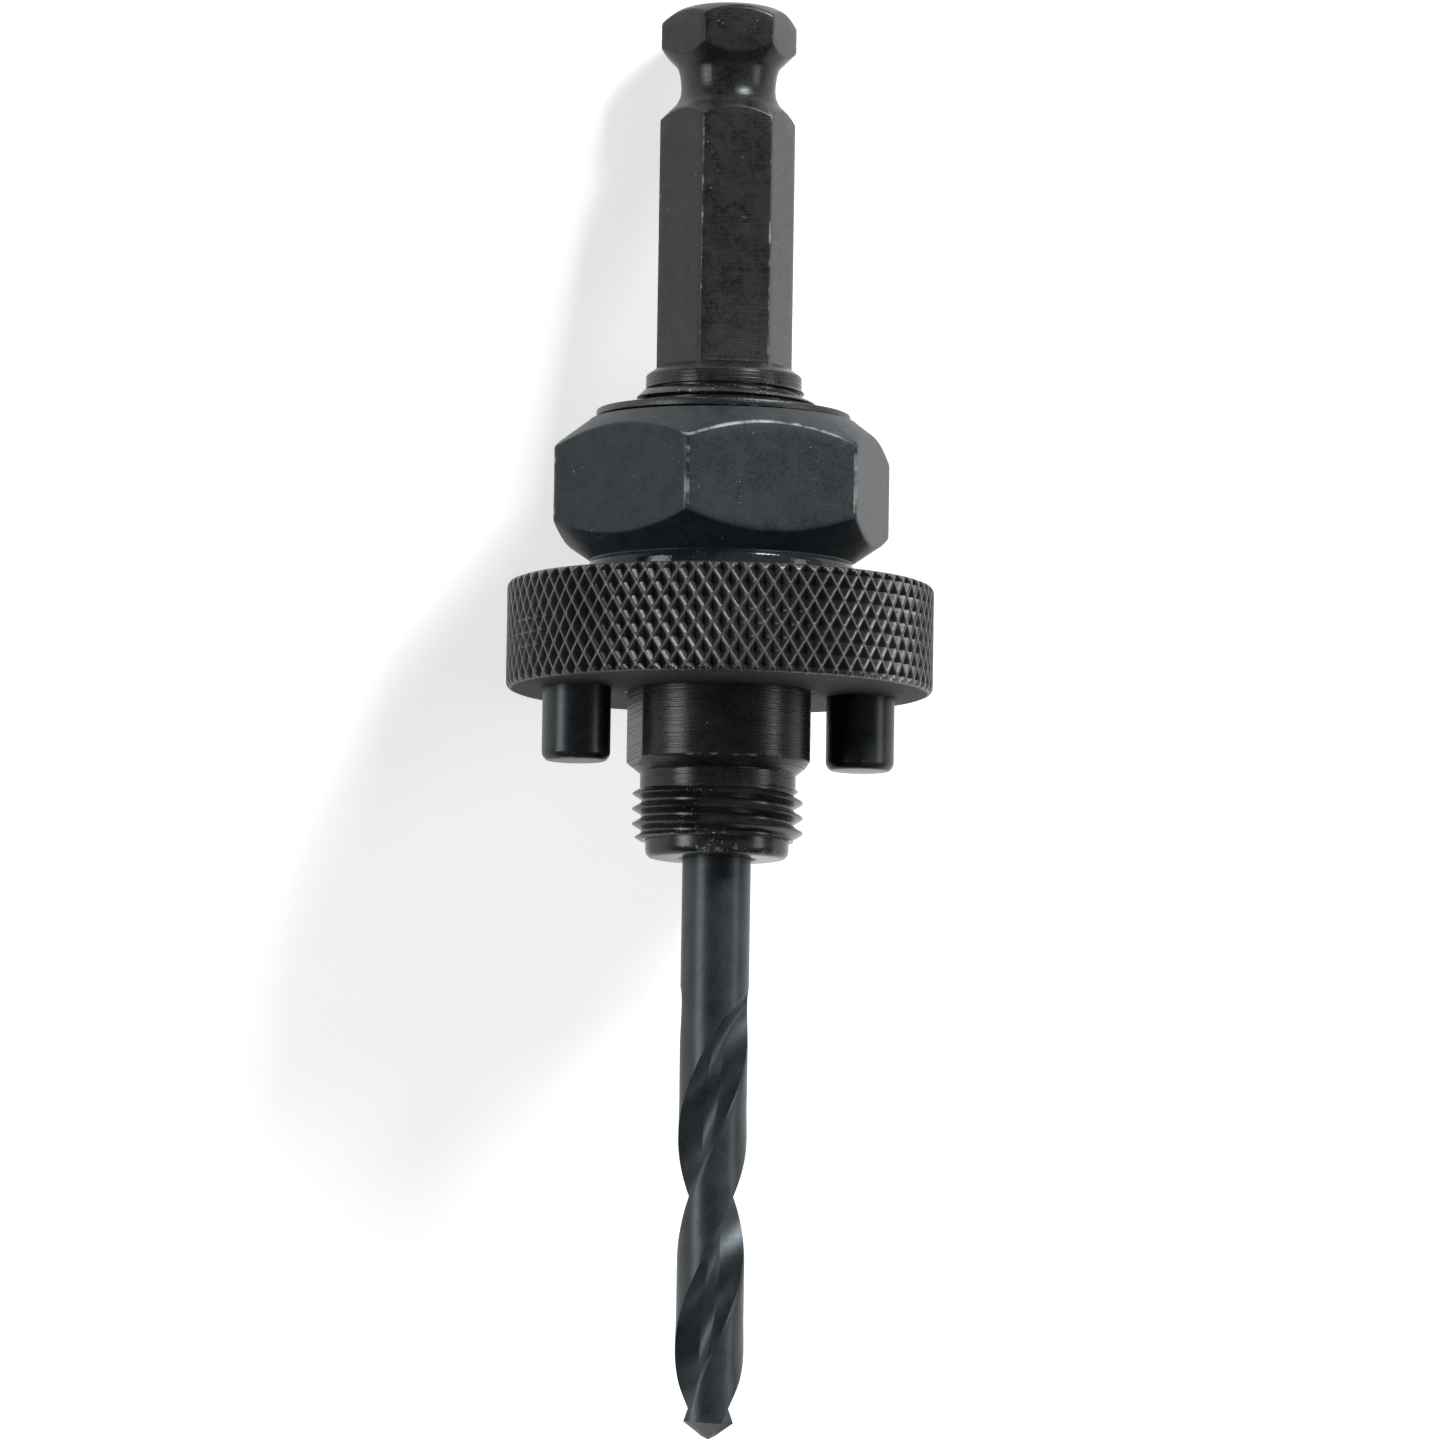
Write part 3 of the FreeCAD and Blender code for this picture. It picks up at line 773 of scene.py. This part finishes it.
def plate_faces(rim_radius, columns):
    """Flat faces of the plate with the double-D hole and the two pin holes."""
    fit, mouth, sink = 0.08, 0.42, 0.36
    pin_fit, pin_mouth, pin_sink = 0.03, 0.16, 0.14
    angles, d = double_d_section(GUIDE_RADIUS + fit, GUIDE_FLAT + fit)
    around, pin_around = evenly(columns), evenly(64)
    bm = bmesh.new()
    layer = bm.verts.layers.float.new(WEAR)

    def loop(points, wear=0.0):
        verts = [bm.verts.new(p) for p in points]
        for vert in verts:
            vert[layer] = wear
        return verts

    def closed_edges(verts):
        return [bm.edges.new(pair) for pair in zip(verts, verts[1:] + verts[:1])]

    def wall(upper, lower):
        for a, b, c, e in zip(upper, upper[1:] + upper[:1], lower[1:] + lower[:1], lower):
            bm.faces.new((a, b, c, e))

    ends = []
    for station, inward in ((NUT_BOTTOM, 1.0), (PLATE_BOTTOM, -1.0)):
        rim = loop(polar(around, rim_radius, station))
        rim_in = loop(polar(around, rim_radius - 0.4, station))
        edges = closed_edges(rim_in)
        wall(rim, rim_in)
        hole = loop(polar(angles, d + mouth, station))
        edges += closed_edges(hole)
        inner = [loop(polar(angles, d, station + inward * sink), 0.7)]
        wall(hole, inner[0])
        for side in (-1, 1):
            centre = polar(GUIDE_TURN, side * PIN_CIRCLE_RADIUS, station)
            edge = loop(polar(pin_around, PIN_RADIUS + pin_mouth, 0.0) + centre)
            edges += closed_edges(edge)
            seat = polar(pin_around, PIN_RADIUS + pin_fit, inward * pin_sink)
            inner.append(loop(seat + centre, 0.7))
            wall(edge, inner[-1])
        bmesh.ops.triangle_fill(bm, use_beauty=True, use_dissolve=False, edges=edges)
        ends.append(inner)
    for upper, lower in zip(*ends):
        wall(upper, lower)
    bm.verts.index_update()
    points = np.array([v.co[:] for v in bm.verts])
    values = np.array([v[layer] for v in bm.verts])
    faces = [[v.index for v in f.verts] for f in bm.faces]
    bm.free()
    return points, faces, values


def pin_data(side):
    """Drive pin with a rounded driving end."""
    start, bevel = NUT_BOTTOM + 0.25, 0.3
    end, taper, narrowing = PLATE_BOTTOM + PIN_REACH, 0.55, 0.42
    profile = [(0.0, start), (PIN_RADIUS - bevel, start), (PIN_RADIUS, start + bevel),
               (PIN_RADIUS, end - taper), (PIN_RADIUS - narrowing, end), (0.0, end)]
    points, faces, values = turned(profile, [0.0, 0.15, 0.15, 0.3, 0.25, 0.0], 96)
    return points + polar(GUIDE_TURN, side * PIN_CIRCLE_RADIUS, 0.0), faces, values


def share(place, start, run):
    """0 up to the start, 1 after the run, even between."""
    return min(1.0, max(0.0, (place - start) / run))


def drill_data():
    """Twist drill: two right-hand flutes with a margin on each land, and a relieved point."""
    radius, flute, web = 3.175, 2.44, 1.1
    start, runin, lead, centre_deg, centre_station = 91.3, 7.5, 39.1, -9.5, 101.27
    wide_start, wide_run, widening = 127.6, 2.8, 0.42
    clear, margin, fall_off = 0.05, 0.45, 0.35
    half_point_deg = 67.5
    cot = 1.0 / math.tan(math.radians(half_point_deg))
    n_flute, n_land, n_rows = 30, 26, 150
    last = DRILL_TIP - radius * cot - fall_off

    def section(station):
        run = share(station, start, runin)
        wide = share(station, wide_start, wide_run)
        size = flute + widening * wide * wide * (3.0 - 2.0 * wide)
        deep = web / 2.0 + size
        d = deep + (radius + size + 0.3 - deep) * (1.0 - run) ** 2.2
        cosine = (d * d + radius * radius - size * size) / (2.0 * d * radius)
        edge = max(math.acos(cosine) if cosine < 1.0 else 0.0, 1e-4)
        phi, rad, heel, wear = [], [], [], []
        land = math.pi - 2.0 * edge
        fade = share(station, start, 12.0)
        for turn in (0.0, math.pi):
            for i in range(n_flute):
                p = edge * (2.0 * i / n_flute - 1.0)
                inside = size * size - (d * math.sin(p)) ** 2
                r = d * math.cos(p) - math.sqrt(inside) if inside > 0.0 else radius
                phi.append(turn + p)
                rad.append(min(r, radius) if d - size < radius else radius)
                heel.append(1.0 - 0.5 * (p / edge + 1.0))
                wear.append(1.0 if i == 0 else 0.0)
            for i in range(n_land):
                t = i / n_land
                behind = land * (1.0 - t)
                cut = clear * fade * share(behind, margin / radius, 0.35)
                rounding = 0.12 * fade * max(0.0, 1.0 - land * t / 0.15) ** 2
                phi.append(turn + edge + land * t)
                rad.append(radius - cut - rounding)
                heel.append(t)
                wear.append(1.0 if i == 0 else 0.0)
        return [np.array(values) for values in (phi, rad, heel, wear)]

    def helix(station):
        return centre_deg - 360.0 * (station - centre_station) / lead

    rows, values = [], []
    phi, rad, _, _ = section(start - 5.0)
    for r, s in ((0.3, DRILL_BUTT), (radius - 0.3, DRILL_BUTT), (radius, DRILL_BUTT + 0.3),
                 (radius, 70.0), (radius, 80.0), (radius, start - 1.0)):
        rows.append(polar(np.degrees(phi) + helix(start), r, s))
        values.append(np.zeros(len(phi)))
    for i in range(n_rows):
        s = start + (last - start) * i / (n_rows - 1)
        phi, rad, heel, wear = section(s)
        rows.append(polar(np.degrees(phi) + helix(s), rad, s))
        values.append(wear * share(s, start, 4.0))
    # heel is 0 at a lip and 1 at the heel behind it; the flank falls away between
    fall = fall_off * np.clip(1.0 - heel, 0.0, 1.0)
    for k in (1.0, 0.97, 0.85, 0.7, 0.5, 0.3, 0.08):
        r = rad * k
        s = DRILL_TIP - r * cot - fall * r / radius
        edge_station = np.maximum(DRILL_TIP - rad * cot - fall * rad / radius, last)
        rows.append(polar(np.degrees(phi) + helix(edge_station), r, np.maximum(s, last)))
        values.append(wear if k == 1.0 else np.full(len(phi), 0.25))
    points, faces, _ = shell(rows, [0.0] * len(rows))
    return points, faces, np.concatenate(values + [np.zeros(2)])


# Finishes

def polished_boss(tree, vector):
    """1 on the nut's boss, which is turned smooth."""
    return station_term(tree, vector).ramp(BOSS_TOP, BOSS_TOP + 0.25)


def turned_faces(tree, vector):
    """1 on the plate's two flat faces."""
    half = (PLATE_BOTTOM - NUT_BOTTOM) / 2.0
    away = (station_term(tree, vector) - (NUT_BOTTOM + half)).math("ABSOLUTE")
    return away.ramp(half - 0.12, half - 0.02)


def build_finishes(looks):
    """One material for each finish, from the colours that a user can change."""
    GROUPS.update({"mottle": oxide_mottle_group(), "edge": worn_edge_group(),
                   "lines": turning_lines_group()})
    oxide = looks.mandrel, looks.mandrel_light, looks.worn
    slate = (0.84, 0.95, 1.0)
    return {
        "mandrel": blackened_steel(
            "mandrel_oxide", *oxide, 0.3, lines=0.036, line_rate=1.6, grain_bump=0.003,
            edge_amount=0.14, specular=0.24, tint=(0.95, 1.0, 1.0), patch_scale=0.6,
            grain_scale=3.0, specks=0.56, fleck_amount=0.6),
        "thread": blackened_steel(
            "thread_oxide", *oxide, 0.26, edge_amount=0.0, grain_bump=0.003, specks=0.73,
            specular=0.3),
        # on the nut's front top edge the worn colour is partly rubbed metal, partly a painted
        # highlight
        "nut": blackened_steel(
            "nut_oxide", looks.nut, looks.nut_light, looks.worn, 0.42, edge_amount=0.42,
            break_scale=0.55, specks=0.58, specular=0.22, grain_bump=0.008,
            shine=polished_boss, tint=slate, patch_scale=0.55, grain_scale=3.4,
            fleck_amount=0.6),
        "plate": blackened_steel(
            "plate_oxide", looks.plate, looks.plate_light, looks.ridge, 0.38,
            edge_amount=0.9, break_scale=0.5, grain_bump=0.006, specks=0.6, specular=0.36,
            dull=turned_faces),
        "pin": blackened_steel(
            "pin_oxide", *oxide, 0.33, edge_amount=0.0, grain_bump=0.002, tint=slate,
            specular=0.3, specks=0.6),
        "ring": blackened_steel(
            "ring_oxide", looks.ring, looks.ring_light, looks.worn, 0.4, edge_amount=0.1),
        "drill": blackened_steel(
            "drill_oxide", looks.drill, looks.drill_light, looks.drill_worn, 0.4,
            edge_amount=0.0, grain_scale=2.6, grain_bump=0.004, specks=0.45, specular=0.4,
            tint=slate),
        "screw": blackened_steel("screw_oxide", *oxide, 0.4),
    }


FINISH = {}


def finish(name):
    """The named finish, all of them being made at the first call."""
    if not FINISH:
        FINISH.update(build_finishes(bpy.context.scene.arbor_looks))
    return FINISH[name]


def colour_prop(name, description, default):
    return bpy.props.FloatVectorProperty(name=name, description=description, subtype="COLOR",
                                         size=3, min=0.0, max=1.0, default=default)


def length_prop(name, description, default):
    return bpy.props.FloatProperty(name=name, description=description, unit="LENGTH",
                                   default=default)


class ArborLooks(bpy.types.PropertyGroup):
    """Colours of the finishes."""
    mandrel: colour_prop("Mandrel", "Dark tone of the mandrel's oxide", (0.0035, 0.0040, 0.0045))
    mandrel_light: colour_prop("Mandrel light", "Light tone of the mandrel's oxide",
                               (0.017, 0.0185, 0.0195))
    nut: colour_prop("Nut", "Dark tone of the nut's oxide", (0.0070, 0.0088, 0.0107))
    nut_light: colour_prop("Nut light", "Light tone of the nut's oxide", (0.0195, 0.0245, 0.029))
    plate: colour_prop("Plate", "Dark tone of the plate's pits", (0.0045, 0.0045, 0.0045))
    plate_light: colour_prop("Plate light", "Light tone of the plate", (0.014, 0.0135, 0.0135))
    ridge: colour_prop("Ridges", "Rubbed ridges of the knurl", (0.085, 0.082, 0.081))
    ring: colour_prop("Ring", "Dark tone of the ring", (0.005, 0.005, 0.005))
    ring_light: colour_prop("Ring light", "Light tone of the ring", (0.010, 0.010, 0.0095))
    drill: colour_prop("Drill", "Dark tone of the drill", (0.0045, 0.0065, 0.0080))
    drill_light: colour_prop("Drill light", "Light tone of the drill", (0.015, 0.020, 0.0235))
    drill_worn: colour_prop("Drill edges", "Rubbed edges of the drill", (0.04, 0.043, 0.045))
    worn: colour_prop("Worn metal", "Bare metal at rubbed edges", (0.26, 0.245, 0.235))


class ArborSizes(bpy.types.PropertyGroup):
    """Sizes of the knurl and the threads."""
    knurl_depth: length_prop("Knurl depth", "Depth of the diamond pits", 0.66 * MM)
    guide_pitch: length_prop("Nut thread pitch", "Pitch of the nut's thread", 1.5875 * MM)
    nose_pitch: length_prop("Nose thread pitch", "Pitch of the nose thread", 1.41111 * MM)
    thread_depth: length_prop("Thread depth", "Depth of the nut's thread", 0.97 * MM)
    knurl_count: bpy.props.IntProperty(name="Knurl count", description="Diamonds round the rim",
                                       default=78, min=12, max=200)


class ARBOR_OT_mandrel(bpy.types.Operator):
    """Builds the mandrel: shank, collar, threads, guide and nose"""
    bl_idname = "arbor.mandrel"
    bl_label = "Mandrel"

    def execute(self, context):
        sizes = context.scene.arbor_sizes
        screw = finish("thread")
        tree = screw_thread_tree()
        pitch = sizes.guide_pitch / MM
        body = joined(shank_rows(), guide_rows())
        piece = solid_piece("mandrel_body", body, finish("mandrel"))
        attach(piece, "arbor")
        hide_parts("mandrel")
        lead = thread_data(
            "lead", tree, screw, Major_Radius=LEAD_RADIUS, Depth=1.72, Pitch=pitch,
            Start=COLLAR_END, End=LEAD_END, Start_Radius=COLLAR_RADIUS, Start_Slope=1.014,
            End_Radius=LEAD_RADIUS, End_Slope=0.0, Start_Angle=1.986)
        main = thread_data(
            "main", tree, screw, Major_Radius=9.52, Depth=sizes.thread_depth / MM,
            Pitch=pitch, Start=NUT_TOP, End=GUIDE_START, Start_Radius=8.75,
            Start_Slope=1.2, End_Radius=8.7, End_Slope=1.0, Start_Angle=0.3)
        nose = thread_data(
            "nose", tree, screw, Major_Radius=7.9375, Depth=0.86,
            Pitch=sizes.nose_pitch / MM, Start=NOSE_START, End=NOSE_THREAD_END,
            Start_Radius=7.35, Start_Slope=1.2, End_Radius=7.2, End_Slope=1.6,
            Start_Angle=2.476)
        top, floor, mouth, deep = 76.0, 76.5, 3.75, 0.6
        land = turned([(0.0, top), (NOSE_LAND_RADIUS, top), (NOSE_LAND_RADIUS, NOSE_END),
                       (mouth, NOSE_END), (BORE_RADIUS, NOSE_END - deep), (BORE_RADIUS, floor),
                       (0.0, floor)], [0.0, 0.0, 0.8, 0.08, 0.0, 0.0, 0.0])
        piece = solid_piece("mandrel_threads", joined(lead, main, nose), screw, 24.0)
        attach(piece, "arbor")
        piece = solid_piece("mandrel_nose_land", land, screw)
        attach(piece, "arbor")
        return {"FINISHED"}


class ARBOR_OT_ring(bpy.types.Operator):
    """Builds the retaining ring"""
    bl_idname = "arbor.ring"
    bl_label = "Retaining ring"

    def execute(self, context):
        piece = solid_piece("retaining_ring_open", ring_data(), finish("ring"))
        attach(piece, "arbor")
        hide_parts("retaining_ring")
        return {"FINISHED"}


class ARBOR_OT_nut(bpy.types.Operator):
    """Builds the hex nut"""
    bl_idname = "arbor.nut"
    bl_label = "Hex nut"

    def execute(self, context):
        piece = solid_piece("nut_body", nut_rows(), finish("nut"))
        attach(piece, "nut")
        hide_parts("hex_nut")
        return {"FINISHED"}


class ARBOR_OT_plate(bpy.types.Operator):
    """Builds the knurled drive plate"""
    bl_idname = "arbor.plate"
    bl_label = "Drive plate"

    def execute(self, context):
        sizes = context.scene.arbor_sizes
        steel = finish("plate")
        tree = knurled_rim_tree()
        columns = sizes.knurl_count * 14
        rim = mesh_data(grown_mesh("rim", tree, {
            "Radius": PLATE_RADIUS, "Top": NUT_BOTTOM, "Bottom": PLATE_BOTTOM, "Edge": PLATE_EDGE,
            "Count": float(sizes.knurl_count), "Half Rows": 7.0,
            "Depth": sizes.knurl_depth / MM, "Land": 0.07, "Unevenness": 0.08,
            "Columns": columns, "Rows": 59, "Finish": steel}))
        faces = plate_faces(PLATE_RADIUS - PLATE_EDGE, columns)
        piece = solid_piece("plate_knurled", joined(rim, faces), steel, 30.0)
        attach(piece, "plate")
        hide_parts("drive_plate")
        return {"FINISHED"}


class ARBOR_OT_pins(bpy.types.Operator):
    """Builds the two drive pins"""
    bl_idname = "arbor.pins"
    bl_label = "Drive pins"

    def execute(self, context):
        for side, label in ((-1, "left"), (1, "right")):
            piece = solid_piece("pin_" + label, pin_data(side), finish("pin"))
            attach(piece, "plate")
            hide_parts("drive_pin_" + label)
        return {"FINISHED"}


class ARBOR_OT_drill(bpy.types.Operator):
    """Builds the pilot drill"""
    bl_idname = "arbor.drill"
    bl_label = "Pilot drill"

    def execute(self, context):
        piece = solid_piece("drill_fluted", drill_data(), finish("drill"), 32.0)
        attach(piece, "arbor")
        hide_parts("pilot_drill")
        return {"FINISHED"}


class ARBOR_OT_screw(bpy.types.Operator):
    """Gives the set screw its finish"""
    bl_idname = "arbor.screw"
    bl_label = "Set screw"

    def execute(self, context):
        screw = frame["nodes"]["set_screw"]
        screw.data.materials.clear()
        screw.data.materials.append(finish("screw"))
        return {"FINISHED"}


def put_facing(name, data, around_deg, rise_deg, distance, station, lean_deg=0.0, off_right=0.0):
    """Puts a lamp or camera round the tool's axis, its upper side towards the shank.

    It looks at a station of the axis, leans, and stands off_right millimetres aside."""
    turn = TOOL.to_3x3()
    rise, lean = math.radians(rise_deg), math.radians(lean_deg)
    radial = Vector(polar(around_deg, 1.0, 0.0).tolist())
    back = turn @ (radial * math.cos(rise) + Vector((0.0, 0.0, 1.0)) * math.sin(rise))
    shankward = turn @ Vector((0.0, 0.0, -1.0))
    up = (shankward - back * shankward.dot(back)).normalized()
    side = up.cross(back).normalized()
    up, side = (up * math.cos(lean) - side * math.sin(lean),
                side * math.cos(lean) + up * math.sin(lean))
    target = TOOL @ Vector((0.0, 0.0, station * MM)) + side * (off_right * MM)
    thing = bpy.data.objects.new(name, data)
    matrix = Matrix((side, up, back)).transposed().to_4x4()
    thing.matrix_world = Matrix.Translation(target + back * distance) @ matrix
    bpy.context.scene.collection.objects.link(thing)
    return thing


def soft_box(name, around_deg, rise_deg, distance, width, height, power):
    """Rectangular lamp with its long side along the tool's axis."""
    lamp = bpy.data.lights.new(name, "AREA")
    lamp.shape = "RECTANGLE"
    lamp.size = width
    lamp.size_y = height
    lamp.energy = power
    put_facing(name, lamp, around_deg, rise_deg, distance, LAMP_STATION)


def floor_material():
    """Pale floor that the camera and reflections see as white; the shadow stays."""
    material = bpy.data.materials.new("floor_white")
    material.use_nodes = True
    tree = material.node_tree
    path = tree.nodes.new("ShaderNodeLightPath").outputs
    seen = Term(tree, path["Is Camera Ray"]).at_least(path["Is Glossy Ray"])
    lift = seen.at_least(path["Is Transmission Ray"]) * 0.5
    fill(tree, tree.nodes["Principled BSDF"], Base_Color=(0.8, 0.8, 0.8, 1.0), Roughness=1.0,
         Specular_IOR_Level=0.0, Emission_Color=(1.0, 1.0, 1.0, 1.0), Emission_Strength=lift)
    return material


class ARBOR_OT_stage(bpy.types.Operator):
    """Builds the floor, the lamps and the camera"""
    bl_idname = "arbor.stage"
    bl_label = "Stage"

    def execute(self, context):
        scene = context.scene
        mesh = bpy.data.meshes.new("floor")
        corners = [(x * FLOOR_REACH, y * FLOOR_REACH, 0)
                   for x, y in ((-1, -1), (1, -1), (1, 1), (-1, 1))]
        mesh.from_pydata(corners, [], [(0, 1, 2, 3)])
        mesh.materials.append(floor_material())
        floor = bpy.data.objects.new("floor", mesh)
        scene.collection.objects.link(floor)
        world = bpy.data.worlds.new("soft_room")
        world.use_nodes = True
        sky = world.node_tree.nodes["Background"].inputs
        sky["Color"].default_value = (1.0, 1.0, 1.0, 1.0)
        sky["Strength"].default_value = 0.11
        scene.world = world
        soft_box("lamp_left", -64.0, 2.0, 0.9, 0.28, 0.5, 4.7)
        soft_box("lamp_right", 62.0, 3.0, 0.9, 0.2, 0.5, 2.2)
        soft_box("lamp_wide", 34.0, -38.0, 1.5, 0.42, 0.42, 30.0)
        # the camera stands where the photograph was taken from
        camera = bpy.data.cameras.new("camera")
        camera.lens = 269.7
        camera.sensor_width = 36.0
        camera.clip_end = 20.0
        scene.camera = put_facing("camera", camera, -9.5, 5.7, 1.0, 66.8, lean_deg=0.875,
                                  off_right=0.112)
        scene.view_settings.view_transform = "Standard"
        return {"FINISHED"}


OPERATORS = (ARBOR_OT_mandrel, ARBOR_OT_ring, ARBOR_OT_nut, ARBOR_OT_plate, ARBOR_OT_pins,
             ARBOR_OT_drill, ARBOR_OT_screw, ARBOR_OT_stage)


class ARBOR_PT_panel(bpy.types.Panel):
    """Lists the pieces of the arbor"""
    bl_label = "Hole saw arbor"
    bl_idname = "ARBOR_PT_panel"
    bl_space_type = "VIEW_3D"
    bl_region_type = "UI"
    bl_category = "Arbor"

    def draw(self, context):
        layout = self.layout
        for group in (context.scene.arbor_sizes, context.scene.arbor_looks):
            for name in group.__annotations__:
                layout.prop(group, name)
        for operator in OPERATORS:
            layout.operator(operator.bl_idname)


CLASSES = (ArborLooks, ArborSizes) + OPERATORS + (ARBOR_PT_panel,)


def register():
    for cls in CLASSES:
        bpy.utils.register_class(cls)
    bpy.types.Scene.arbor_looks = bpy.props.PointerProperty(type=ArborLooks)
    bpy.types.Scene.arbor_sizes = bpy.props.PointerProperty(type=ArborSizes)


def unregister():
    del bpy.types.Scene.arbor_sizes
    del bpy.types.Scene.arbor_looks
    for cls in reversed(CLASSES):
        bpy.utils.unregister_class(cls)


def main():
    register()
    for name in ("mandrel", "ring", "nut", "plate", "pins", "drill", "screw", "stage"):
        getattr(bpy.ops.arbor, name)()
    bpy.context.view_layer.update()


if __name__ == "__main__":
    main()
